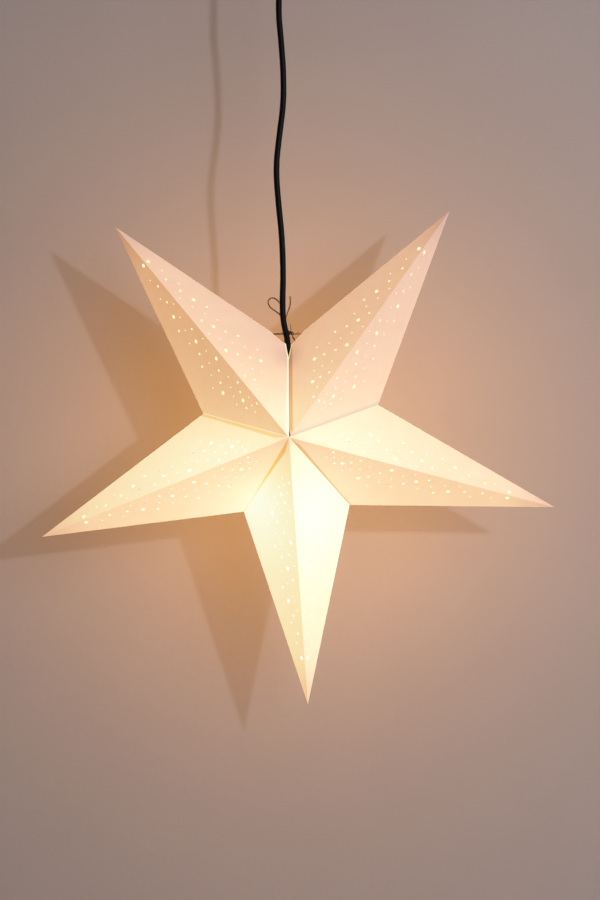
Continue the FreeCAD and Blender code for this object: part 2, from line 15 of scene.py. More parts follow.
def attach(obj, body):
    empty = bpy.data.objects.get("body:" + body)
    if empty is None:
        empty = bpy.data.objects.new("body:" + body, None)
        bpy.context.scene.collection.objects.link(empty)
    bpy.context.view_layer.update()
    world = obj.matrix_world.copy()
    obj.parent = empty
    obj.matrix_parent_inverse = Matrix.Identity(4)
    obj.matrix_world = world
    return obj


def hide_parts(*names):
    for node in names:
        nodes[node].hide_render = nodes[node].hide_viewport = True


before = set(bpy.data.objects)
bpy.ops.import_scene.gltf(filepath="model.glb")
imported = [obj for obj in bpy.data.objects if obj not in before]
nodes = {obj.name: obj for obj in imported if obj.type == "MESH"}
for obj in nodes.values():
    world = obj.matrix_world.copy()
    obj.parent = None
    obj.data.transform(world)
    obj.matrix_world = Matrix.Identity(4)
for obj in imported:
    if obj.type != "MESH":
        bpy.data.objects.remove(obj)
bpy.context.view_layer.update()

MM = 0.001

# %% [markdown]
# Everything on the star is measured from its middle. The raised centre of the front is the
# CAD point nearest the viewer, so the middle lies straight behind it, on the plane y = 0.

# %% Find the middle of the star
apex = min((v.co.copy() for v in nodes["point_bottom"].data.vertices), key=lambda co: co.y)
STAR = Vector((apex.x, 0, apex.z))
HALF_DEPTH = -apex.y / MM
print("star middle:", [round(x / MM, 1) for x in STAR], "half depth:", round(HALF_DEPTH, 1))


def around_star(point):
    """A place given in millimetres from the star's middle, in the row frame in metres."""
    return STAR + Vector(point) * MM


# %% [markdown]
# The camera comes first. It stands two
# metres in front, a little to the star's right and a little above, with a portrait lens that
# keeps the points in proportion. Worked out from two angles, its view is the same on every run.

# %% Set the camera
CAMERA_DISTANCE = 2.0
CAMERA_YAW = math.radians(1.8)      # to the star's right
CAMERA_PITCH = math.radians(2.4)    # above the star's middle
CAMERA_LENS = 72.5                  # millimetres, on a 36 mm high frame
AIM = around_star((9, 0, -17))


def put_in_scene(name, data):
    obj = bpy.data.objects.new(name, data)
    bpy.context.collection.objects.link(obj)
    return obj


camera = put_in_scene("camera", bpy.data.cameras.new("camera"))
camera.data.lens = CAMERA_LENS
camera.rotation_euler = (math.pi / 2 - CAMERA_PITCH, 0, CAMERA_YAW)
sight = Vector((0, 0, -1))
sight.rotate(camera.rotation_euler)
camera.location = AIM - sight * CAMERA_DISTANCE
bpy.context.scene.camera = camera
bpy.context.scene.view_settings.view_transform = "Standard"
print("camera at", [round(x, 3) for x in camera.location])

# %% [markdown]
# Materials are built from nodes in code. One helper adds a node, sets its options and fills
# its sockets, either with a value or with a link from another node. Colours are written as
# the sRGB hex that a paint chart would give, and one function turns them to linear light.

# %% Helpers for nodes


def tone(hex_colour):
    """Linear RGBA for an sRGB hex colour such as "#c8b49b"."""
    parts = [int(hex_colour[i:i + 2], 16) / 255 for i in (1, 3, 5)]
    return [c / 12.92 if c <= 0.04045 else ((c + 0.055) / 1.055) ** 2.4 for c in parts] + [1]


def add(tree, kind, inputs=None, **settings):
    """Add a shader node: settings are its options, inputs values or links for its sockets."""
    node = tree.nodes.new("ShaderNode" + kind)
    for name, value in settings.items():
        setattr(node, name, value)
    for name, value in (inputs or {}).items():
        if isinstance(value, bpy.types.NodeSocket):
            tree.links.new(value, node.inputs[name])
        else:
            node.inputs[name].default_value = value
    return node


def material(name, build, **constants):
    """A Principled material. build(tree) gives the linked sockets, constants the fixed ones."""
    made = bpy.data.materials.new(name)
    made.use_nodes = True
    tree = made.node_tree
    tree.nodes.clear()
    shader = add(tree, "BsdfPrincipled", {k.replace("_", " "): v for k, v in constants.items()})
    for socket, link in build(tree).items():
        tree.links.new(link, shader.inputs[socket])
    add(tree, "OutputMaterial", {"Surface": shader.outputs[0]})
    return made


print("#808080 in linear light:", round(tone("#808080")[0], 3))

# %% [markdown]
# No real surface is one even colour. Most finishes here are two near colours that drift into
# each other, and some have a grain. Both are noise on the object's own coordinates, so that
# their sizes are true millimetres.

# %% Helpers for patterns


def noise(tree, scale, detail, roughness=0.5):
    coords = add(tree, "TexCoord").outputs["Object"]
    spot = add(tree, "VectorMath", {0: coords, 1: [1 / (scale * MM)] * 3}, operation="MULTIPLY")
    return add(tree, "TexNoise", {"Vector": spot.outputs[0], "Scale": 1.0, "Detail": detail,
                                  "Roughness": roughness}).outputs["Fac"]


def blend(tree, share, low, high):
    return add(tree, "Mix", {"Factor": share, 6: low, 7: high}, data_type="RGBA").outputs[2]


def mottle(tree, scale, low, high):
    """Two colours that drift into each other, over a size in millimetres."""
    return blend(tree, noise(tree, scale, 3.0), tone(low), tone(high))


def relief(tree, scale, depth):
    """A bump of uneven grain, its size and depth in millimetres."""
    return add(tree, "Bump", {"Height": noise(tree, scale, 2.0), "Distance": depth * MM,
                              "Strength": 1.0}).outputs[0]


def plain(name, scale, low, high, grain=None, **constants):
    """A mottled material, with a bump where grain gives the bump's size and depth."""
    def build(tree):
        sockets = {"Base Color": mottle(tree, scale, low, high)}
        if grain:
            sockets["Normal"] = relief(tree, *grain)
        return sockets

    return material(name, build, **constants)


pvc = plain("black extruded PVC sheath", 30, "#050406", "#0a080b", grain=(1.2, 0.03),
            Roughness=0.5, IOR=1.53, Specular_IOR_Level=0.06)
print("made", pvc.name)

# %% [markdown]
# The cord is a round flex in a black PVC sheath. Heavy flex keeps a slow wave from the coil it
# was packed in, even with a lamp on it. Its route is the CAD tube's own, point for point, and
# a NURBS curve through that hull bends as smoothly as the real thing. The sheath is extruded,
# so it has a satin shine and hardly any grain.

# %% Make the cord
CORD_RADIUS = 3.25 * MM
CORD_ROUTE = [
    (-4.0, 0.0, 83.0), (-4.0, 0.0, 95.0), (-5.2, -4.0, 108.0), (-9.2, -5.8, 124.0),
    (-10.2, -5.6, 144.0), (-9.2, -4.6, 176.0), (-10.6, -3.4, 216.0), (-14.6, -2.4, 254.0),
    (-17.6, -1.6, 292.0), (-13.4, -1.0, 330.0), (-9.0, -0.6, 362.0), (-9.2, -0.3, 398.0),
    (-11.6, -0.2, 430.0), (-14.4, -0.1, 458.0), (-14.0, 0.0, 484.0), (-14.0, 0.0, 507.0),
]
CEILING_PIECES = ["ceiling_cord_grip", "ceiling_cup", "ceiling_strap", "cup_screws",
                  "terminal_block"]


def nurbs(name, points):
    """An open NURBS curve of order 3 that starts and ends on its first and last points."""
    curve = bpy.data.curves.new(name, "CURVE")
    curve.dimensions = "3D"
    spline = curve.splines.new("NURBS")
    spline.points.add(len(points) - 1)
    for point, co in zip(spline.points, points):
        point.co = (*co, 1)
    spline.order_u = 3
    spline.use_endpoint_u = True
    curve.resolution_u = 12
    return put_in_scene(name, curve)


def shown(obj, *finishes):
    """Give a piece its materials and let it ride on the one body."""
    for finish in finishes:
        obj.data.materials.append(finish)
    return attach(obj, "root")


cord = nurbs("lamp_cord", [around_star(p) for p in CORD_ROUTE])
cord.data.bevel_depth = CORD_RADIUS
cord.data.bevel_resolution = 8
cord.data.use_fill_caps = True
shown(cord, pvc)
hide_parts("cord")
around_star(CORD_ROUTE[0])
print("cord of", len(CORD_ROUTE), "route points")

# %% [markdown]
# The stage is a plain wall close behind the star and a pale floor below it. The wall takes the
# star's soft shadow and its warm glow. From behind, camera rays pass through the wall's back,
# so the lantern can be looked at from every side.

# %% Make the stage
WALL_BEHIND = 0.112
WALL_SIZE = 6.0
FLOOR_BELOW = 0.78


def maths(tree, operation, *values):
    return add(tree, "Math", dict(enumerate(values)), operation=operation).outputs[0]


def stage_panel(name, corners, finish):
    mesh = bpy.data.meshes.new(name)
    mesh.from_pydata(corners, [], [range(len(corners))])
    mesh.materials.append(finish)
    obj = put_in_scene(name, mesh)
    return obj


def one_sided(tree):
    """Let the camera see through the back of a stage wall."""
    behind = add(tree, "NewGeometry").outputs["Backfacing"]
    seen = add(tree, "LightPath").outputs["Is Camera Ray"]
    mix = add(tree, "MixShader", {
        0: maths(tree, "MULTIPLY", behind, seen), 1: tree.nodes["Principled BSDF"].outputs[0],
        2: add(tree, "BsdfTransparent").outputs[0]})
    tree.links.new(mix.outputs[0], tree.nodes["Material Output"].inputs[0])


plaster = plain("painted plaster wall", 260, "#847c7e", "#8b8485", grain=(9, 0.25),
                Roughness=0.85)
one_sided(plaster.node_tree)
floor_paint = plain("pale painted floor", 400, "#cfc6bd", "#d4ccc4", Roughness=0.8)

half = WALL_SIZE / 2
low = STAR.z - FLOOR_BELOW
square = ((-half, -half), (half, -half), (half, half), (-half, half))
wall = stage_panel("wall", [(x, WALL_BEHIND, low + half + z) for x, z in square], plaster)
floor = stage_panel("floor", [(x, y, low) for x, y in square], floor_paint)
print("wall", WALL_BEHIND, "m behind the star, floor", FLOOR_BELOW, "m below it")

# %% [markdown]
# Daylight comes from in front, well to the right and a little above. A wide lamp gives most, with
# the broad soft shadows of a window, and a small, nearer one in the same direction adds the
# narrower shadow inside them.

# %% Light the stage
KEY_DIRECTION = Vector((0.56, -0.79, 0.235)).normalized()
# width and distance in metres, level
KEY_LAMPS = {"lamp": (0.08, 2.1, 0.34), "window": (3.1, 3.9, 0.54)}

for name, (width, distance, level) in KEY_LAMPS.items():
    data = bpy.data.lights.new(name, "AREA")
    data.shape = "DISK"
    data.size = width
    data.energy = level * math.pi ** 2 * distance ** 2
    lamp = put_in_scene(name, data)
    lamp.location = STAR + KEY_DIRECTION * distance
    lamp.rotation_euler = KEY_DIRECTION.to_track_quat("Z", "Y").to_euler()
    print(name, round(data.energy), "W at", distance, "m")

# %% [markdown]
# A dim world fills in, cooler above and warmer below. With the two lamps it renders a surface
# that looks forward about as its colour is written. The card itself adds its own glow.

# %% Fill in with a dim world
WORLD_LEVEL = 0.30
SKY_TOP = Vector((0.65, -0.1, 0.75))
SKY_ABOVE = "#dbecf6"
ROOM_BELOW = "#b9853c"

world = bpy.data.worlds.new("even daylight")
world.use_nodes = True
sky = world.node_tree
towards = add(sky, "TexCoord").outputs["Generated"]
height = add(sky, "VectorMath", {0: towards, 1: SKY_TOP}, operation="DOT_PRODUCT")
height = maths(sky, "MULTIPLY_ADD", height.outputs["Value"], 0.5, 0.5)
background = sky.nodes["Background"]
sky.links.new(blend(sky, height, tone(ROOM_BELOW), tone(SKY_ABOVE)), background.inputs["Color"])
background.inputs["Strength"].default_value = WORLD_LEVEL
bpy.context.scene.world = world
print("world at", WORLD_LEVEL)

# %% [markdown]
# The lantern's back throws a wide amber glow on the wall. It comes from the whole width of the
# star, so it falls off slowly. A small lamp in front of the star falls off as slowly there, and
# light linking keeps it off the lantern, which stays under plain daylight.

# %% Light the wall with the lantern's glow
GLOW_FROM_WALL = 0.31
GLOW_LEVEL = 2.35
GLOW_RADIUS = 0.05
GLOW_COLOUR = (1.0, 0.455, 0.10)
GLOW_MIDDLE = (-6, 0, -28)

stage_only = bpy.data.collections.new("stage only")
for obj in (wall, floor):
    stage_only.objects.link(obj)
glow = bpy.data.lights.new("glow", "POINT")
glow.color = GLOW_COLOUR
glow.shadow_soft_size = GLOW_RADIUS
glow.energy = GLOW_LEVEL * 4 * math.pi ** 2 * GLOW_FROM_WALL ** 2
glow_lamp = put_in_scene("glow", glow)
glow_lamp.location = around_star(GLOW_MIDDLE) + Vector((0, WALL_BEHIND - GLOW_FROM_WALL, 0))
glow_lamp.light_linking.receiver_collection = stage_only
glow_lamp.light_linking.blocker_collection = stage_only
print("wall glow", round(glow.energy, 1), "W")

# %% [markdown]
# Each point of the star is one sheet with four flat panels: two in front and two behind, folded
# along the front ridge and the two outer creases and glued along the back ridge. A panel is
# easiest to think of flat, with one ruler along its ridge and one across it, so a class turns
# those two lengths into a place on the folded star.

# %% Lay out the panels
TIP_RADIUS = 300.0
NOTCH_RADIUS = 100.5
POINTS = {
    "point_top_right": {"before": 19.1, "tip": 54.8, "after": 92.1},
    "point_top_left": {"before": 92.1, "tip": 130.4, "after": 166.8},
    "point_left": {"before": 166.8, "tip": 202.3, "after": 238.1},
    "point_bottom": {"before": 238.1, "tip": 273.4, "after": 309.4},
    "point_right": {"before": 309.4, "tip": 344.6, "after": 379.1},
}
FRONT = Vector((0, -HALF_DEPTH, 0))
BACK = Vector((0, HALF_DEPTH, 0))


def polar(radius, degrees):
    """A place on the plane y = 0, by its distance from the middle and its direction."""
    angle = math.radians(degrees)
    return Vector((radius * math.cos(angle), 0, radius * math.sin(angle)))


class Panel:
    """A flat triangle of a point, from the raised centre to the tip and one notch."""

    def __init__(self, name, centre, side):
        self.key = name, side
        tip = polar(TIP_RADIUS, POINTS[name]["tip"])
        notch = polar(NOTCH_RADIUS, POINTS[name][side])
        self.tip, self.centre, self.notch = tip, centre, notch
        self.length = (tip - centre).length
        self.along = (tip - centre).normalized()
        across = notch - centre
        self.notch_along = across.dot(self.along)
        across -= self.along * self.notch_along
        self.notch_across = across.length
        self.across = across.normalized()
        self.seam = (notch - centre).normalized()
        self.crease = (tip - notch).normalized()
        self.inward = (tip - centre).cross(notch - centre).normalized()
        if self.inward.dot(centre) > 0:
            self.inward.negate()
        self.from_seam = self.inward.cross(self.seam)
        if self.from_seam.dot(self.along) < 0:
            self.from_seam.negate()

    def edge(self, distance):
        """How wide the panel is at a distance along its ridge."""
        return min(self.notch_across * distance / self.notch_along,
                   self.notch_across * (self.length - distance) / (self.length - self.notch_along))

    def at(self, distance, width):
        return self.centre + self.along * distance + self.across * width

    def flat(self, point):
        """Where a place on the panel lies on its two rulers."""
        return Vector(((point - self.centre).dot(self.along), (point - self.centre).dot(self.across)))


for name in POINTS:
    reached = max((v.co - STAR).length for v in nodes[name].data.vertices) / MM
    print(name, "reaches", round(reached, 1), "of", TIP_RADIUS, "mm")

# %% [markdown]
# The card is pricked with three sizes of punch. The holes step evenly in area from the tip to
# the centre, and a golden-ratio step across the panel keeps neighbours apart, which looks
# scattered but never clumps. The finest pinholes are only in this file; the larger two sizes
# are in the CAD sheets as well. Holes over the black holder would look dark, so the few that
# fall there are left out. Behind, the scatter is shifted, so that no hole shows the wall through
# both sides at once.

# %% Scatter the holes
SCATTER = 36
SCATTER_FROM_TIP = 0.12
SCATTER_REACH = 0.73
SCATTER_POWER = 0.6
GOLDEN = 0.6180339887
BACK_SHIFT = 0.65                    # share of the scatter's width
HOLDER_ZONE = Vector((27.0, 36.0))   # half width and half height of the holder behind the card
HOLDER_CENTRE = Vector((-4.0, 48.0))
RIDGE_MARGIN = 5.0
BAND = 0.56
PUNCH = {"big": (2.2, 16), "middle": (1.4, 12), "fine": (0.95, 8)}   # radius and sides


def scatter(panel):
    """Middle, radius and sides of each punched hole. A back panel's holes lie off the front's."""
    shift = BACK_SHIFT if panel.centre is BACK else 0.0
    for i in range(SCATTER):
        share = (i + 0.5) / SCATTER
        from_tip = SCATTER_FROM_TIP + SCATTER_REACH * share ** SCATTER_POWER
        distance = panel.length * (1 - from_tip)
        band = BAND * panel.edge(distance) - RIDGE_MARGIN
        width = RIDGE_MARGIN + band * ((i * GOLDEN + shift) % 1)
        size = "fine" if i % 2 else "big" if i % 6 == 0 else "middle"
        spot = panel.at(distance, width)
        over_holder = (abs(spot.x - HOLDER_CENTRE.x) < HOLDER_ZONE.x
                       and abs(spot.z - HOLDER_CENTRE.y) < HOLDER_ZONE.y)
        if not over_holder:
            yield Vector((distance, width)), *PUNCH[size]


for name in POINTS:
    print(name, "has", len(list(scatter(Panel(name, FRONT, "after")))), "holes in one panel")

# %% [markdown]
# Blender's constrained triangulation joins a panel's outline, its hole rims and a loose grid of
# inner points into one clean net of small triangles. The inner points let the card bow a little,
# as real card does between its folds.

# %% Cut a panel
GRID = 9.0            # millimetres between the inner points of a panel
CLEAR = 1.6           # least distance from an inner point to a hole's rim or an edge
SLIVER = 0.01         # triangles lower than this only close the straight outline, and go


def sides_of(corners):
    return list(zip(corners, corners[1:] + corners[:1]))


def divided(corners):
    """Points along a closed outline, its sides cut into equal steps."""
    points = []
    for a, b in sides_of(corners):
        steps = max(1, round((b - a).length / GRID))
        points += [a.lerp(b, i / steps) for i in range(steps)]
    return points


def off_line(point, a, b):
    """Distance from a flat point to the line through two others, negative on its right."""
    side = (b - a).normalized()
    offset = point - a
    return side.x * offset.y - side.y * offset.x


def inner_points(corners, holes):
    """A loose grid of points inside a convex outline, clear of its sides and holes."""
    sides = sides_of(corners)
    reach = max(c.x for c in corners)
    top = max(c.y for c in corners)
    row = 0
    y = GRID / 2
    while y < top:
        for x in np.arange(GRID * (0.5 if row % 2 else 1.0), reach, GRID):
            spot = Vector((x, y))
            if min(off_line(spot, a, b) for a, b in sides) > CLEAR * 2 and all(
                    (spot - m).length > r + CLEAR for m, r, _ in holes):
                yield spot
        y += GRID * math.sqrt(3) / 2
        row += 1


def cut_panel(corners, holes):
    """Flat points and triangles of an outline with round holes: (middle, radius, sides)."""
    points = divided(corners)
    edges = [(i, (i + 1) % len(points)) for i in range(len(points))]
    for middle, radius, sides in holes:
        first = len(points)
        for k in range(sides):
            turn = 2 * math.pi * k / sides
            points.append(middle + Vector((math.cos(turn), math.sin(turn))) * radius)
            edges.append((first + k, first + (k + 1) % sides))
    points += inner_points(corners, holes)
    flat, _, triangles, *_ = geometry.delaunay_2d_cdt(points, edges, [], 0, 1e-4)
    kept = []
    for tri in triangles:
        corner = [flat[i] for i in tri]
        middle = sum(corner, Vector((0, 0))) / 3
        flatness = geometry.area_tri(*corner) / max((p - q).length for p in corner for q in corner)
        if flatness > SLIVER and all((middle - m).length > r for m, r, _ in holes):
            kept.append(tri)
    return flat, kept


trial = [Vector((0, 0)), Vector((60, 0)), Vector((0, 60))]
print("a plain corner has", len(cut_panel(trial, [])[1]), "triangles")

# %% [markdown]
# Light from the bulb falls on the inside of the card and comes through it. Direct light drops
# with the distance and with the slant of the panel, and least of it goes up, because the holder
# stands over the bulb. More light has bounced around inside first, and it reaches everywhere,
# but the narrow tips and the stacked flanges at the centre pass less. Each corner of each
# triangle stores the amount, and the material turns it to colour.

# %% Work out the light inside
LIGHT_MIDDLE = Vector((-19.5, 0, -54.7))   # where the light seems to come from, in millimetres
DIRECT = 10.9
DIRECT_REACH = 131.0
DIRECT_SHADE = 0.53         # how quickly direct light fades towards the holder
BOUNCED = 4.0
BOUNCE_REACH = 1005.0
BOUNCED_ABOVE = 0.39        # share of the bounced light that still goes straight up
TIP_DIM = (0.60, 70.0)      # light left in the very tip, and how far from it the dimming starts
CENTRE_DIM = (0.80, 26.0)
NOTCH_DIM = (0.62, 26.0)    # the holder's shoulder shades the card beside the open notch


def smooth(low, high, value):
    t = min(1.0, max(0.0, (value - low) / (high - low)))
    return t * t * (3 - 2 * t)


def glow_at(point, outward, from_tip, from_centre, from_notch):
    """Light that comes out of the card at a place, on a scale where 1 is amber and 5 is cream."""
    ray = point - LIGHT_MIDDLE
    distance = ray.length
    slant = max(0.0, ray.dot(outward) / distance)
    below = (1 - ray.z / distance) / 2
    direct = DIRECT * slant * below ** DIRECT_SHADE / (1 + (distance / DIRECT_REACH) ** 2)
    bounced = BOUNCED * math.exp(-point.length / BOUNCE_REACH)
    bounced *= BOUNCED_ABOVE + (1 - BOUNCED_ABOVE) * below
    passed = 1.0
    for (left, reach), away in ((TIP_DIM, from_tip), (CENTRE_DIM, from_centre), (NOTCH_DIM, from_notch)):
        passed *= left + (1 - left) * smooth(0, reach, away)
    return passed * (direct + bounced)


for up in (-100, 100):
    light = glow_at(Vector((0, 0, up)), FRONT.normalized(), *[NOTCH_RADIUS] * 3)
    print("light", up, "mm above the middle:", round(light, 1))

# %% [markdown]
# The seam at the top is left open for the cord, and the two sheets there are tied instead of
# glued. Their corners at the open notch are cut off; in front a knee of card is left, which
# bulges round the cord. Behind, beside each cut, is the small hole that the twine goes through.

# %% Measure the open notch
# the two sides at the open seam, and how far from the notch their crease is cut
OPEN_SEAM = {("point_top_left", "before"): 25.0, ("point_top_right", "after"): 22.8}
CUT_ON_SEAM = 20.0
KNEE_DOWN, KNEE_OUT = 5.0, 4.2       # the knee's corner, from the notch along seam and crease
KNEE_LIFT, KNEE_REACH = 1.6, 12.0    # how far the cord pushes it forward, and over what width
TIE_HEIGHT = 110.8
TIE_HOLE_RADIUS = 1.6
TIE_HOLE_SIDES = 12
TIE_HOLE_OUT = 4.0
FAR = Vector((1e4, 1e4))


def panel_outline(panel):
    """Flat corners of a panel, its cut's end and its knee, which are far away if it has none."""
    corners = [Vector((0, 0)), Vector((panel.length, 0)), panel.flat(panel.notch)]
    if panel.key not in OPEN_SEAM:
        return corners, FAR, FAR
    cut = panel.flat(panel.notch - panel.seam * CUT_ON_SEAM)
    corners[2:] = [panel.flat(panel.notch + panel.crease * OPEN_SEAM[panel.key]), cut]
    if panel.centre is BACK:
        return corners, cut, FAR
    knee = panel.flat(panel.notch - panel.seam * KNEE_DOWN + panel.crease * KNEE_OUT)
    corners.insert(3, knee)
    return corners, cut, knee


def tie_hole(panel):
    """The twine's hole, on a back panel beside its cut corner, on the panel's rulers."""
    corner = panel.notch + panel.crease * OPEN_SEAM[panel.key]
    x = corner.x + math.copysign(TIE_HOLE_OUT, panel.tip.x - panel.notch.x)
    n = panel.inward
    y = panel.tip.y - ((x - panel.tip.x) * n.x + (TIE_HEIGHT - panel.tip.z) * n.z) / n.y
    return panel.flat(Vector((x, y, TIE_HEIGHT)))


for name, side in OPEN_SEAM:
    print(name, "has its tie hole at", [round(x, 1) for x in tie_hole(Panel(name, BACK, side))])

# %% [markdown]
# A glued seam is more than one layer of card. Each sheet has a narrow flange that lies flat
# inside its neighbour and hangs from a doubled bend of its own panel, and a wider tab closes the
# back ridge. All three are thin plates laid along a line of the panel.

# %% Lay the flanges, the bends and the tab
CARD = 0.5
LAYER_BITE = 0.1              # a doubled layer sinks this far into the one it is folded from
FLANGE_WIDTH = 5.5
FLANGE_START, FLANGE_FULL, FLANGE_TAPER, FLANGE_END = 8.0, 18.0, 92.0, 106.0
FLANGE_TAIL = FLANGE_WIDTH / 3
FLANGE_ROOT = -0.5            # a flange starts this far past the seam, at its bend
FREE_FLANGE_START = 0.6
BEND_WIDTH = 1.2
TAB_WIDTH = 8.0
TAB_START, TAB_END = 0.12, 0.90      # shares of the ridge
ORDER = list(POINTS)


def plate(panel, depth, along, into, outline):
    """Corners and thickness of a second layer, given by its distances along and into a panel."""
    base = panel.centre + panel.inward * depth
    return [base + along * a + into * b for a, b in outline], panel.inward * CARD


def flange(panel, start, depth):
    """The glue strip that lies along a panel's seam, inside it."""
    return plate(panel, depth, panel.seam, panel.from_seam, [
        (FLANGE_START, start), (FLANGE_FULL, FLANGE_WIDTH), (FLANGE_TAPER, FLANGE_WIDTH),
        (FLANGE_END, FLANGE_TAIL), (FLANGE_END, start)])


def bend(panel):
    """The bend that the strip hangs from: a narrow doubling of its own panel along the seam."""
    return plate(panel, CARD - LAYER_BITE, panel.seam, panel.from_seam, [
        (FLANGE_START, CARD), (FLANGE_START, BEND_WIDTH), (FLANGE_END, BEND_WIDTH),
        (FLANGE_END, CARD)])


def ridge_tab(panel):
    """The glue tab that closes a sheet along its back ridge."""
    start, end = panel.length * TAB_START, panel.length * TAB_END
    return plate(panel, CARD - LAYER_BITE, panel.along, panel.across, [
        (start, CARD), (start + TAB_WIDTH, TAB_WIDTH), (end - 2 * TAB_WIDTH, TAB_WIDTH),
        (end, CARD)])


def plates_of(name):
    """All the doubled strips of one sheet. Its flanges lie under the next sheet of the ring."""
    follower = ORDER[(ORDER.index(name) + 1) % len(ORDER)]
    plates = []
    for centre in (FRONT, BACK):
        own = Panel(name, centre, "after")
        if own.key in OPEN_SEAM:
            plates.append(flange(own, FREE_FLANGE_START, CARD - LAYER_BITE))
        else:
            neighbour = Panel(follower, centre, "before")
            plates += [flange(neighbour, FLANGE_ROOT, CARD + LAYER_BITE), bend(own)]
    return plates + [ridge_tab(own)]


print("doubled strips:", {name: len(plates_of(name)) for name in POINTS})

# %% [markdown]
# Doubled card shows as a darker band beside most seams, with less light through it and a
# painted shade on its colour, a bend as a painted bright line, and some panels glow more or less
# than their neighbours. So each triangle corner also remembers how far it is from the seam, the
# ridge and the cut, and which of these its panel has. The material draws the bands and lines
# from those distances.

# %% Gather what each corner stores
BOW = 0.5             # how far the middle of a panel sinks between its folds
BOW_REACH = 30.0      # and over what width
NO_BAND = (0.0, 0.0, 0.0)
INNER_VALUES = {"glow": 3.0, "seam": (60.0, 60.0, 0.0), "fold": (60.0, 0.5, 0.0),
                "band": NO_BAND, "cut": (0.0, 0.0, 60.0)}
# how strongly each glued strip shows, and its width near the centre and near the notch
BANDS = {
    ("point_left", "before"): (0.75, 5.0, 3.4),
    ("point_bottom", "before"): (1.0, 5.5, 0.8),
    ("point_right", "before"): (0.9, 4.0, 1.8),
}
# panels whose painted glow is raised or lowered against the rest
PASSES = {
    ("point_top_left", "before"): 1.12, ("point_left", "before"): 1.12,
    ("point_bottom", "before"): 1.12, ("point_top_right", "before"): 0.94,
}
# how brightly the bend beside a glued seam shows, or how much a seam shades its panel if negative
SEAM_LINES = {
    ("point_top_left", "after"): 4.0, ("point_left", "after"): 0.5,
    ("point_bottom", "after"): 1.5, ("point_right", "after"): 0.3,
    ("point_top_right", "before"): -0.24,
}


class Net:
    """Points, faces and stored corner values of one sheet, gathered panel by panel."""

    def __init__(self, name):
        self.name = name
        self.points, self.inward, self.faces, self.values = [], [], [], []
        for centre in (FRONT, BACK):
            for side in ("before", "after"):
                self.put(Panel(name, centre, side))

    def put(self, panel):
        """Cut a panel and add its net, bowed a little."""
        key = panel.key
        opened = key in OPEN_SEAM
        lip = opened and key[1] == "before"
        tabbed = panel.centre is BACK and key[1] == "after"
        corners, cut, knee = panel_outline(panel)
        holes = list(scatter(panel))
        if opened and panel.centre is BACK:
            holes.append((tie_hole(panel), TIE_HOLE_RADIUS, TIE_HOLE_SIDES))
        seam_end, crease_start = panel.flat(panel.notch), panel.flat(panel.tip)
        flat, triangles = cut_panel(corners, holes)
        first = len(self.points)
        rows = []
        for spot in flat:
            from_seam = abs(off_line(spot, Vector((0, 0)), seam_end))
            deep = BOW * smooth(0, BOW_REACH, from_seam) * smooth(0, BOW_REACH, spot.y)
            deep *= smooth(0, BOW_REACH, abs(off_line(spot, seam_end, crease_start)))
            if lip:
                deep -= KNEE_LIFT * (1 - smooth(0, KNEE_REACH, (spot - knee).length))
            point = panel.at(spot.x, spot.y) + panel.inward * deep
            self.points.append(point)
            self.inward.append(panel.inward)
            rows.append({
                "glow": PASSES.get(key, 1.0) * glow_at(
                    point, -panel.inward, (spot - crease_start).length, spot.length, (spot - cut).length),
                "seam": (spot.dot(seam_end.normalized()), from_seam, SEAM_LINES.get(key, 0.0)),
                "fold": (spot.y, spot.x / panel.length, float(tabbed)),
                "band": BANDS.get(key, NO_BAND),
                "cut": (float(opened and not lip), float(lip),
                        FAR.x if knee is FAR else abs(off_line(spot, cut, knee))),
            })
        for tri in triangles:
            a, b, c = (self.points[first + i] for i in tri)
            order = tri[::-1] if (b - a).cross(c - a).dot(panel.inward) > 0 else tri
            self.faces.append([first + i for i in order])
            self.values.append([rows[i] for i in order])


nets = [Net(name) for name in POINTS]
print("triangles on the outer faces:", [len(net.faces) for net in nets])

# %% [markdown]
# Card has an inner face too. Points that two panels share are welded, and the inner point of a
# fold is the shortest step that goes as deep as the card along each panel's own direction. Walls
# close the free edges and line the holes.

# %% Helpers that thicken the card
WELD = 0.01           # points nearer than this are one point


def skins(net, thickness):
    """The outer points once each, the inner points, and each net point's number among them."""
    tree = kdtree.KDTree(len(net.points))
    for i, point in enumerate(net.points):
        tree.insert(point, i)
    tree.balance()
    first = [min(j for _, j, _ in tree.find_range(p, WELD)) for p in net.points]
    number = {i: k for k, i in enumerate(sorted(set(first)))}
    outer = [net.points[i] for i in number]
    normals = [[] for _ in outer]
    for i, j in enumerate(first):
        normals[number[j]].append(net.inward[i])
    inner = [p + Vector(np.linalg.lstsq(np.array(n), np.full(len(n), thickness), rcond=0.001)[0])
             for p, n in zip(outer, normals)]
    return outer, inner, [number[j] for j in first]


def thickened(net, thickness):
    """Points, faces, values and material numbers of the closed sheet."""
    outer, inner, number = skins(net, thickness)
    count = len(outer)
    faces, values, numbers = [], [], []
    walls = {}
    for face, row in zip(net.faces, net.values):
        face = [number[i] for i in face]
        faces += [face, [i + count for i in reversed(face)]]
        values += [row, row[::-1]]
        numbers += [0, 1]
        for k in range(3):
            a, b = face[k], face[(k + 1) % 3]
            if walls.pop((b, a), None) is None:
                walls[a, b] = (row[k], row[(k + 1) % 3])
    for (a, b), (at_a, at_b) in walls.items():
        faces.append([b, a, a + count, b + count])
        values.append([at_b, at_a, at_a, at_b])
        numbers.append(1)
    return outer + inner, faces, values, numbers


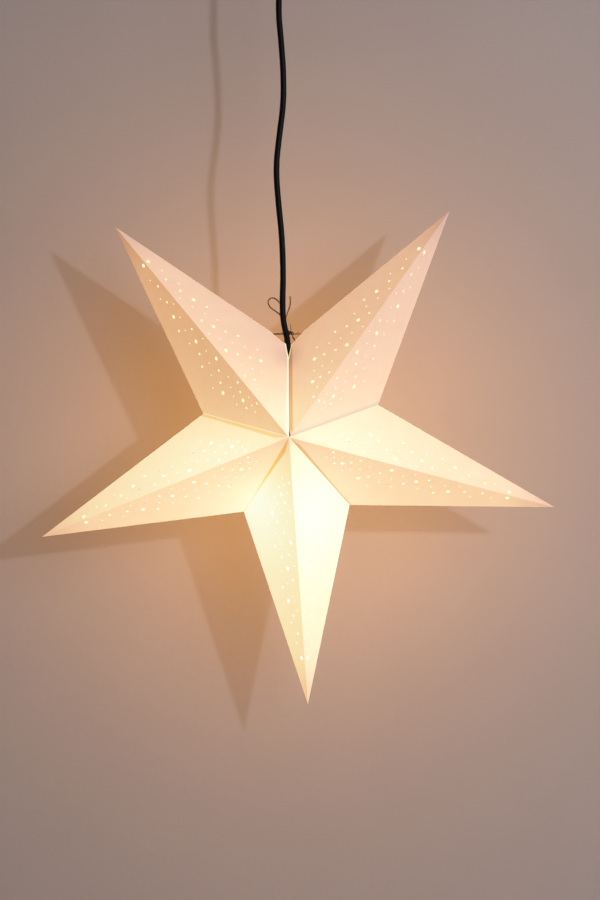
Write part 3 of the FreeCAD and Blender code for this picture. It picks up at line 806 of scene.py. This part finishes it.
def solid_plate(corners, depth):
    """Points and faces of a flat plate, its faces looking out."""
    n = len(corners)
    shape = [list(range(n))[::-1], list(range(n, 2 * n))]
    shape += [[k, (k + 1) % n, (k + 1) % n + n, k + n] for k in range(n)]
    across = (corners[1] - corners[0]).cross(corners[2] - corners[0])
    if across.dot(depth) < 0:
        shape = [face[::-1] for face in shape]
    return corners + [c + depth for c in corners], shape


print("a flange has", len(solid_plate(*plates_of("point_left")[0])[1]), "faces")

# %% [markdown]
# White card with light behind it is never one colour. Red passes most easily, so dim card is
# amber, well lit card is cream and card by the bulb is almost white. Three small curves, one for
# each of red, green and blue, do exactly that.

# %% Turn light to colour
LAMP_LIGHT = (1.0, 0.349, 0.117)    # red, green and blue share of the light that passes the card
SECOND_LAYER = (0.0, 0.12, 0.55)    # how much more of each colour a second layer keeps back


def read(tree, key):
    """The three numbers of a stored corner value, or the one number of a plain one."""
    attribute = add(tree, "Attribute", attribute_name=key)
    if key == "glow":
        return attribute.outputs["Fac"]
    return add(tree, "SeparateXYZ", {0: attribute.outputs["Vector"]}).outputs


def product(tree, first, *others):
    for value in others:
        first = maths(tree, "MULTIPLY", first, value)
    return first


def ramp(tree, value, low, high, start=0.0, end=1.0, curve="LINEAR"):
    return add(tree, "MapRange", {0: value, 1: low, 2: high, 3: start, 4: end},
               interpolation_type=curve).outputs[0]


def within(tree, value, limit, soft=0.3):
    """1 where a value is under a limit, 0 over it, with a soft step between."""
    return ramp(tree, maths(tree, "SUBTRACT", value, limit), -soft, soft, 1.0, 0.0)


def lit_through(tree, light, layers=0.0):
    """Emission colour of card that passes this much light. A second layer keeps back blue."""
    channels = {}
    for name, share, kept_back in zip(("Red", "Green", "Blue"), LAMP_LIGHT, SECOND_LAYER):
        share = maths(tree, "MULTIPLY_ADD", layers, share * kept_back, -share)
        dark = maths(tree, "EXPONENT", product(tree, light, share))
        channels[name] = maths(tree, "SUBTRACT", 1.0, dark)
    return add(tree, "CombineColor", channels).outputs[0]


print("colour of light 5:", [round(1 - math.exp(-5 * share), 2) for share in LAMP_LIGHT])

# %% [markdown]
# Flanges, the folded strip at the open seam and the ridge tab double the card, and a second
# layer passes less light, least of all blue. A bend or a cut edge shows as a bright line, and the
# open seam's slit as a dark line of painted shadow.

# %% Draw the seams
FREE_BAND = 4.7               # the free strip at the open seam, as far as it shows
FREE_BAND_FADE = (4.0, 9.0)   # where it starts, along the seam
STRIP_START = 2.0
TAB_FADE = 0.02               # share of the ridge over which the tab's slanted ends fade
# along the open seam, from where to where a value changes, and from what to what
LIP_WIDTH = (6, 100, 3.4, 1.2)
# the next two shape the painted shadow along the open seam's slit
SLIT_WIDTH = (2, 9, 2.2, 0.4)
SLIT_SHADOW_DEPTH = (7, 14, 1.0, 0.4)
LIP_LIGHT = 5.0
BEND_LINE = 0.8
CUT_LINE, CUT_LIGHT = 1.0, 4.0
SEAM_SHADE_WIDTH = 6.5


def second_layer(tree):
    """Where the card is doubled by a glued strip, a free strip or the ridge tab, 0 to 1."""
    along_seam, from_seam, _ = read(tree, "seam")
    strength, near_width, far_width = read(tree, "band")
    from_ridge, ridge_share, tab = read(tree, "fold")
    share = ramp(tree, along_seam, FLANGE_FULL, FLANGE_END)
    width = add(tree, "Mix", {"Factor": share, 2: near_width, 3: far_width}).outputs[0]
    width = product(tree, width, ramp(tree, along_seam, STRIP_START, FLANGE_FULL))
    strip = product(tree, within(tree, from_seam, width, 0.5), strength)
    folded = product(tree, within(tree, from_seam, FREE_BAND), read(tree, "cut")[0],
                     ramp(tree, along_seam, *FREE_BAND_FADE))
    glued = product(tree, within(tree, from_ridge, TAB_WIDTH), tab,
                    ramp(tree, ridge_share, TAB_START, TAB_START + TAB_FADE),
                    ramp(tree, ridge_share, TAB_END - 2 * TAB_FADE, TAB_END, 1.0, 0.0))
    return maths(tree, "MAXIMUM", maths(tree, "MAXIMUM", strip, folded), glued)


def bright_edges(tree):
    """Extra light where a bend or a cut edge of the card lets the lamp be seen."""
    along_seam, from_seam, line = read(tree, "seam")
    _, lip, from_cut = read(tree, "cut")
    lip_width = ramp(tree, along_seam, *LIP_WIDTH)
    at_lip = product(tree, lip, LIP_LIGHT, within(tree, from_seam, lip_width, 0.8))
    at_bend = product(tree, within(tree, from_seam, BEND_LINE), maths(tree, "MAXIMUM", line, 0.0))
    at_cut = product(tree, within(tree, from_cut, CUT_LINE), CUT_LIGHT)
    return maths(tree, "ADD", maths(tree, "ADD", at_lip, at_bend), at_cut)


def painted_slit_shade(tree):
    """Painted shadow along the open seam: a dark line, wider and darker where the five sheets meet."""
    along_seam, from_seam, _ = read(tree, "seam")
    width = ramp(tree, along_seam, *SLIT_WIDTH)
    return product(tree, read(tree, "cut")[0], ramp(tree, along_seam, *SLIT_SHADOW_DEPTH),
                   within(tree, from_seam, width))


def seam_shade(tree):
    """What is left of the light beside a seam whose neighbour stands a little proud of it."""
    _, from_seam, line = read(tree, "seam")
    near = ramp(tree, from_seam, 0.0, SEAM_SHADE_WIDTH, 1.0, 0.0, "SMOOTHSTEP")
    return maths(tree, "MULTIPLY_ADD", near, maths(tree, "MINIMUM", line, 0.0), 1.0)


print("bright lip from", LIP_WIDTH[2], "to", LIP_WIDTH[3], "mm wide")

# %% [markdown]
# Daylight adds its cool white to the light that comes through, which is painted on as the card's
# emission. The card's colour is written darker than loose card, so that the two together stay
# below white. Uneven pulp clouds the light a little. The inside is much brighter, as it looks
# straight at the bulb, and its light is painted as emission too.

# %% Mix the card
LIT_LEVEL = 0.874
INSIDE_LEVEL = 0.88
INSIDE_LIGHT = (3.0, 2.5)           # the inside's light against the outside's: times, plus
BAND_PASSES = 0.60                  # what a glued double layer lets through, against one layer
LAYER_SHADE = 0.35                  # painted shade: how much the card's colour darkens over a double layer
# painted shadow: the light left in the open seam's slit
SLIT_PASSES = 0.04
FORMATION = 14.0                    # cloudiness of the pulp, in millimetres
CLOUDS = (0.94, 1.06)
TOOTH = (1.6, 0.05)                 # drawn coarser than its real 0.3 mm
PATCHES = 22.0
DAYLIT = ("#737b89", "#7b8396")
# painted shadow colour of the open seam's slit
SLIT_SHADOW_COLOUR = "#1c120b"


def card_outside(tree):
    layers = second_layer(tree)
    clouds = noise(tree, FORMATION, 5.0, 0.6)
    light = product(tree, read(tree, "glow"), ramp(tree, clouds, 0.25, 0.75, *CLOUDS),
                    ramp(tree, layers, 0, 1, 1.0, BAND_PASSES))
    light = maths(tree, "ADD", light, bright_edges(tree))
    # the open seam's slit lets almost no light out: a painted shadow
    slit_shadow = painted_slit_shade(tree)
    light = product(tree, light, ramp(tree, slit_shadow, 0, 1, 1.0, SLIT_PASSES))
    # painted shade: the card's own colour darkens over doubled card, most of all in the open seam's slit
    shade = maths(tree, "MAXIMUM", product(tree, layers, LAYER_SHADE), slit_shadow)
    shown_light = add(tree, "VectorMath", {0: lit_through(tree, light, layers),
                                           "Scale": seam_shade(tree)}, operation="SCALE")
    colour = blend(tree, shade, mottle(tree, PATCHES, *DAYLIT), tone(SLIT_SHADOW_COLOUR))
    return {"Base Color": colour, "Normal": relief(tree, *TOOTH),
            "Emission Color": shown_light.outputs[0]}


def card_inside(tree):
    light = maths(tree, "MULTIPLY_ADD", read(tree, "glow"), *INSIDE_LIGHT)
    return {"Base Color": mottle(tree, PATCHES, "#75736c", "#7d7b74"),
            "Emission Color": lit_through(tree, light)}


card_out = material("folded white card, lit through", card_outside,
                    Roughness=0.72, IOR=1.5, Emission_Strength=LIT_LEVEL)
card_in = material("inside of the card", card_inside,
                   Roughness=0.8, IOR=1.5, Emission_Strength=INSIDE_LEVEL)
print("card of", len(card_out.node_tree.nodes), "nodes")

# %% [markdown]
# Each net becomes a sheet, with its doubled strips inside, and smooth apart from its folds. The
# stored values go on the mesh as attributes, which the material reads by name.

# %% Fold the sheets


def piece_of(name, points, faces, numbers, sharp_from):
    """A piece from millimetres, smooth up to an angle, its faces numbered by material."""
    mesh = bpy.data.meshes.new(name)
    mesh.from_pydata([around_star(p) for p in points], [], faces)
    mesh.polygons.foreach_set("material_index", numbers)
    mesh.polygons.foreach_set("use_smooth", [True] * len(faces))
    mesh.set_sharp_from_angle(angle=math.radians(sharp_from))
    print(name, "has", len(points), "points and", len(faces), "faces")
    return put_in_scene(name, mesh)


for net in nets:
    points, faces, values, numbers = thickened(net, CARD)
    for corners, depth in plates_of(net.name):
        first = len(points)
        extra, shape = solid_plate(corners, depth)
        points += extra
        faces += [[first + i for i in face] for face in shape]
        values += [[INNER_VALUES] * len(face) for face in shape]
        numbers += [1] * len(shape)
    sheet = piece_of(net.name + "_sheet", points, faces, numbers, sharp_from=12)
    for key in INNER_VALUES:
        kind, field = ("FLOAT", "value") if key == "glow" else ("FLOAT_VECTOR", "vector")
        layer = sheet.data.attributes.new(key, kind, "CORNER")
        layer.data.foreach_set(field, np.ravel([row[key] for face in values for row in face]))
    shown(sheet, card_out, card_in)
    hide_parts(net.name)

# %% [markdown]
# The tie is parcel twine of two plies of jute, laid into each other. At true size a ply is less
# than a millimetre thick, yet the lay is what makes twine look like twine, so each ply is a
# tube of its own that winds about a shared line. The line comes from a NURBS curve, read back
# as points.

# %% Follow a line
TWINE_STEP = 0.5      # spacing of the rings along a ply


def evenly(points):
    """The same line with its points one step apart."""
    line, left = [points[0]], TWINE_STEP
    for a, b in zip(points, points[1:]):
        length = (b - a).length
        at = left
        while at < length:
            line.append(a.lerp(b, at / length))
            at += TWINE_STEP
        left = at - length
    return line


def line_of(route):
    """Even steps along the smooth curve that a route's points pull."""
    guide = nurbs("guide", route)
    bpy.context.view_layer.update()
    mesh = bpy.data.meshes.new_from_object(guide.evaluated_get(bpy.context.evaluated_depsgraph_get()))
    points = [v.co.copy() for v in mesh.vertices]
    bpy.data.objects.remove(guide)
    return evenly(points)


def framed(line):
    """Each point of a line with two directions across it that turn as little as they can."""
    side = (line[1] - line[0]).orthogonal().normalized()
    for i, point in enumerate(line):
        go = (line[min(i + 1, len(line) - 1)] - line[max(i - 1, 0)]).normalized()
        side = (side - go * side.dot(go)).normalized()
        yield point, side, go.cross(side)


print("a ring every", TWINE_STEP, "mm")

# %% [markdown]
# A tube is a row of rings with a lid at each end. Two tubes half a turn apart make twine, and a
# spray of very thin ones makes its frayed end.

# %% Wind the plies
TWINE_RADIUS = 0.75
PLY_RADIUS = 0.46
LAY = 5.0             # millimetres for one full turn of the plies
PLY_SIDES = 8
FIBRES = 14
FIBRE_LENGTH = 2.6
FIBRE_STEPS = (-0.2, 0.1, 0.4, 0.7, 1.0)      # shares of a fibre's length
FIBRE_RADII = (0.16, 0.16, 0.15, 0.12, 0.05)


def around(side, up, turn):
    """The direction that a turn gives, across a line."""
    return side * math.cos(turn) + up * math.sin(turn)


class Skin:
    """Points and faces of tubes, gathered into one mesh."""

    def __init__(self):
        self.points, self.faces = [], []

    def tube(self, line, radii):
        first = len(self.points)
        for (point, side, up), radius in zip(framed(line), radii):
            self.points += [point + around(side, up, 2 * math.pi * k / PLY_SIDES) * radius
                            for k in range(PLY_SIDES)]
        for i in range(len(line) - 1):
            a = first + i * PLY_SIDES
            for k in range(PLY_SIDES):
                b = (k + 1) % PLY_SIDES
                self.faces.append([a + k, a + b, a + b + PLY_SIDES, a + k + PLY_SIDES])
        last = first + (len(line) - 1) * PLY_SIDES
        self.faces.append([first + k for k in reversed(range(PLY_SIDES))])
        self.faces.append([last + k for k in range(PLY_SIDES)])

    def twine(self, line):
        """Two plies wound about a line."""
        for start in (0, math.pi):
            wound = []
            for i, (point, side, up) in enumerate(framed(line)):
                turn = start + 2 * math.pi * i * TWINE_STEP / LAY
                wound.append(point + around(side, up, turn) * (TWINE_RADIUS - PLY_RADIUS))
            self.tube(wound, [PLY_RADIUS] * len(wound))

    def frayed(self, line):
        """Loose fibres at the cut end of a line."""
        point, side, up = list(framed(line))[-1]
        go = (line[-1] - line[-3]).normalized()
        for k in range(FIBRES):
            out = around(side, up, 2 * math.pi * k * GOLDEN)
            length = FIBRE_LENGTH * (0.5 + 0.5 * (k * GOLDEN % 1))
            self.tube([point + out * 0.3 + go * length * t + out * length * 0.5 * t * t
                       for t in FIBRE_STEPS], FIBRE_RADII)


print("twine", 2 * TWINE_RADIUS, "mm thick")

# %% [markdown]
# The twine is one length: across the notch through both tie holes, with a stop knot behind each
# sheet, a knot in the middle and a bow of one loop and two tails. A third, short end has come
# unlaid to a single ply. Its knots and ends are where the CAD tie has them. A knot's line is a
# trefoil, the simplest knot there is.

# %% Tie the twine
KNOT = Vector((-0.5, 0.5, TIE_HEIGHT + 1.2))
KNOT_RADIUS, STOP_RADIUS, STOP_GAP = 2.1, 2.3, 0.05
KNOT_TURN, STOP_TURN = 0.2, 1.1
KNOT_STEPS = 60
TREFOIL_REACH = 3.0   # the trefoil formula's own size
LOOSE_PLY_RADIUS = 0.7 * PLY_RADIUS
BOW_LOOP = [
    (-1.2, 1.8, 111.6), (-6.2, 3.3, 112.8), (-8.5, 2.6, 121.5), (-11.6, 2.2, 131.4),
    (-18.6, 1.6, 136.4), (-24.7, 0.8, 140.4), (-26.8, 0.6, 147.0), (-22.4, 0.8, 151.2),
    (-16.0, 1.8, 148.8), (-10.6, 3.4, 140.6), (-8.4, 5.4, 124.5), (-5.6, 5.0, 114.0),
    (0.0, 1.4, 111.8),
]
LONG_TAIL = [
    (-1.0, 0.6, 112.0), (-5.6, 1.4, 113.8), (-8.0, 0.9, 121.0), (-6.6, 0.3, 129.0),
    (-4.4, 0.4, 135.5), (-1.2, 0.8, 143.0), (-1.8, 1.2, 150.4),
]
LOOSE_PLY = [(-0.8, -0.2, 112.4), (-1.0, -0.8, 117.5), (-2.4, -1.3, 122.6)]
LOW_TAIL = [(0.0, 0.9, 110.6), (0.9, 1.5, 108.0), (2.9, 2.0, 104.4)]


def knot_line(middle, radius, turned):
    """A trefoil that fills a ball of a radius, with room for the twine's own thickness."""
    size = (radius - 0.6 * TWINE_RADIUS) / TREFOIL_REACH
    points = []
    for i in range(KNOT_STEPS):
        t = 2 * math.pi * i / KNOT_STEPS
        bent = Vector((math.sin(t) + 2 * math.sin(2 * t), 1.6 * math.sin(3 * t),
                       math.cos(t) - 2 * math.cos(2 * t)))
        bent.rotate(Euler((0.4, turned, 0.3)))
        points.append(middle + bent * size)
    return evenly(points)


def stop_middle(name, side):
    """Where the knot behind a sheet bears on it, at its tie hole."""
    panel = Panel(name, BACK, side)
    return panel.at(*tie_hole(panel)) + Vector((0, (STOP_RADIUS + STOP_GAP) / abs(panel.inward.y), 0))


stops = [stop_middle(name, side) for name, side in OPEN_SEAM]
strand = [stops[0], Vector((stops[0].x + 0.2, 0, TIE_HEIGHT)),
          Vector((stops[1].x - 0.2, 0, TIE_HEIGHT)), stops[1]]
skin = Skin()
for route in (strand, BOW_LOOP, LONG_TAIL, LOW_TAIL):
    skin.twine(line_of(route))
for route in (LONG_TAIL, LOW_TAIL):
    skin.frayed(line_of(route))
ply = line_of(LOOSE_PLY)
skin.tube(ply, [LOOSE_PLY_RADIUS] * len(ply))
skin.twine(knot_line(KNOT, KNOT_RADIUS, KNOT_TURN))
for middle in stops:
    skin.twine(knot_line(middle, STOP_RADIUS, STOP_TURN))
print("twine of", len(skin.points), "points, stops at", [[round(c, 1) for c in m] for m in stops])

# %% [markdown]
# Jute is a dull brown bast fibre. Its colour drifts from straw to dark brown within a few
# millimetres, and fine fibres run along each ply, which fine noise shows as bump.

# %% Finish the twine
jute = plain("twisted jute", 2.5, "#40230f", "#6a4424", grain=(0.35, 0.08),
             Roughness=0.9, IOR=1.5, Specular_IOR_Level=0.25)
tie = piece_of("twine_tie_plies", skin.points, skin.faces, [0] * len(skin.faces), sharp_from=60)
shown(tie, jute)
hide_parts("twine_tie")

# %% [markdown]
# The bulb is a round opal lamp on a 27 mm screw cap. It is a turned shape apart from its
# thread, so it is a stack of rings from one list of radii and heights, and the thread is a
# small wave in the radius that climbs once per turn.

# %% Turn the bulb's rings
BULB_RADIUS = 30.0
LAMP_OFFSET = -4.0
BULB_HEIGHT = -38.0
BULB_SIDES = 64
CAP_TOP = 41.6
CAP_RADIUS = 13.2
THREAD = {"low": 17.5, "high": 34.0, "pitch": 3.6, "depth": 0.9}
THREAD_RINGS = 50
ENVELOPE_MEETS = math.radians(28)     # where the round envelope runs into its neck
ENVELOPE_RINGS = 24
NECK = (14.2, 7.6)                    # radius and height where the neck leaves the cap
NECK_PULL = 22.0                      # how far the envelope's own slope is kept into the neck
NECK_RINGS = 14


def thread_depth(height, angle):
    """How far the rolled thread sinks into the cap."""
    fade = smooth(0, 1.2, height - THREAD["low"]) * smooth(0, 1.2, THREAD["high"] - height)
    wave = math.cos(2 * math.pi * height / THREAD["pitch"] - angle)
    return fade * THREAD["depth"] * (0.5 - 0.5 * wave)


def on_envelope(angle):
    """Radius and height of the round glass, at an angle above its widest ring."""
    return BULB_RADIUS * math.cos(angle), BULB_HEIGHT + BULB_RADIUS * math.sin(angle)


meets = on_envelope(ENVELOPE_MEETS)
pull = (meets[0] - NECK_PULL * math.sin(ENVELOPE_MEETS), meets[1] + NECK_PULL * math.cos(ENVELOPE_MEETS))
rings = [(2.6, CAP_TOP), (4.0, 41.3), (4.5, 40.6), (4.6, 40.0), (5.5, 40.0), (9.9, 38.6),
         (10.0, 38.5), (11.6, 38.0), (12.9, 36.6), (CAP_RADIUS, 35.6)]
rings += [(CAP_RADIUS, 35.2 - 0.4 * i) for i in range(THREAD_RINGS)]
rings += [(13.25, 14.9), (14.0, 14.0), (14.0, 13.8), (14.6, 8.2), (14.4, 8.0), NECK]
for t in np.arange(1, NECK_RINGS) / NECK_RINGS:
    rings.append([(1 - t) ** 2 * a + 2 * t * (1 - t) * b + t * t * c
                  for a, b, c in zip(NECK, pull, meets)])
rings += [on_envelope(ENVELOPE_MEETS - (ENVELOPE_MEETS + math.pi / 2) * i / ENVELOPE_RINGS)
          for i in range(ENVELOPE_RINGS)]
points = [Vector((LAMP_OFFSET, 0, CAP_TOP))]
for radius, height in rings:
    for k in range(BULB_SIDES):
        angle = 2 * math.pi * k / BULB_SIDES
        r = radius - (thread_depth(height, angle) if radius == CAP_RADIUS else 0)
        points.append(Vector((LAMP_OFFSET + r * math.cos(angle), r * math.sin(angle), height)))
points.append(Vector((LAMP_OFFSET, 0, BULB_HEIGHT - BULB_RADIUS)))
print("bulb of", len(rings), "rings")

# %% [markdown]
# The cap is nickel plated brass with a black glass insulator and a soldered contact. The
# envelope is opal glass, which spreads the filament's light so evenly that the whole ball
# shines. A face's height tells which of them it belongs to.

# %% Finish the bulb
PARTED_AT = (40.0, 38.5, 14.0, 8.0)   # heights where solder, insulator, cap and collar end
solder = plain("soldered contact", 2, "#a9aaac", "#c2c3c4", Metallic=1.0, Roughness=0.35)
insulator = plain("black glass insulator", 3, "#121013", "#1b191d", Roughness=0.15, IOR=1.52)
nickel = plain("nickel plated screw cap", 4, "#bdb8ad", "#cdc9bf", Metallic=1.0, Roughness=0.28)
collar = plain("white moulded collar", 6, "#dcd9d2", "#e4e1da", Roughness=0.45, IOR=1.5)
opal = plain("opal glass, lit", 9, "#8f8a80", "#96918a", Roughness=0.25, IOR=1.52,
             Emission_Color=tone("#ffeccb"), Emission_Strength=0.9)

faces, numbers = [], []
for k in range(BULB_SIDES):
    after = (k + 1) % BULB_SIDES
    faces.append([0, 1 + k, 1 + after])
    numbers.append(0)
    for i in range(len(rings) - 1):
        a, b = 1 + i * BULB_SIDES, 1 + (i + 1) * BULB_SIDES
        faces.append([a + k, b + k, b + after, a + after])
        height = (rings[i][1] + rings[i + 1][1]) / 2
        numbers.append(sum(height < limit for limit in PARTED_AT))
    a = 1 + (len(rings) - 1) * BULB_SIDES
    faces.append([a + k, len(points) - 1, a + after])
    numbers.append(len(PARTED_AT))
bulb = piece_of("round_bulb", points, faces, numbers, sharp_from=40)
shown(bulb, solder, insulator, nickel, collar, opal)
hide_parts("bulb")

# %% [markdown]
# The rest of the lamp keeps its CAD shape and gets its real finish: moulded and glazed parts in
# the holder, pressed brass where current flows, plated steel and powder coat at the ceiling.

# %% Finish the hard parts
thermoplastic = plain("black moulded thermoplastic", 12, "#121113", "#19181a", grain=(0.8, 0.02),
                      Roughness=0.5, IOR=1.5)
steatite = plain("glazed steatite", 6, "#d9d4c8", "#e4e0d6", Roughness=0.3, IOR=1.55)
brass = plain("pressed brass", 5, "#c09a4e", "#cfa95a", Roughness=0.32, Metallic=1.0)
zinc = plain("zinc plated steel", 7, "#a9adb0", "#bcc0c2", Roughness=0.36, Metallic=1.0)
cup_paint = plain("black powder coat", 15, "#161517", "#1d1c1e", grain=(0.7, 0.05),
                  Roughness=0.55, IOR=1.5)
polyamide = plain("natural polyamide", 8, "#d8d3c4", "#e2ddd0", Roughness=0.45, IOR=1.53)

FINISHES = [
    (thermoplastic, "holder_body", "holder_cap", "lamp_cord_grip", "ceiling_cord_grip"),
    (zinc, "lamp_grip_nut", "ceiling_strap", "cup_screws"), (steatite, "contact_block"),
    (brass, "screw_shell", "centre_contact"), (cup_paint, "ceiling_cup"),
    (polyamide, "terminal_block"),
]
for finish, *names in FINISHES:
    for name in names:
        for slot in nodes[name].material_slots:
            slot.material = finish
    print(finish.name, "on", names)

# %% [markdown]
# A window is far away, so a ceiling cup's shadow falls well above the lantern's own. These
# lamps stand nearer, and the cup's shadow would land beside the cord's, so it casts none.

# %% Keep the ceiling cup's shadow off the wall
for name in CEILING_PIECES:
    nodes[name].visible_shadow = False
print(len(CEILING_PIECES), "pieces cast no shadow")
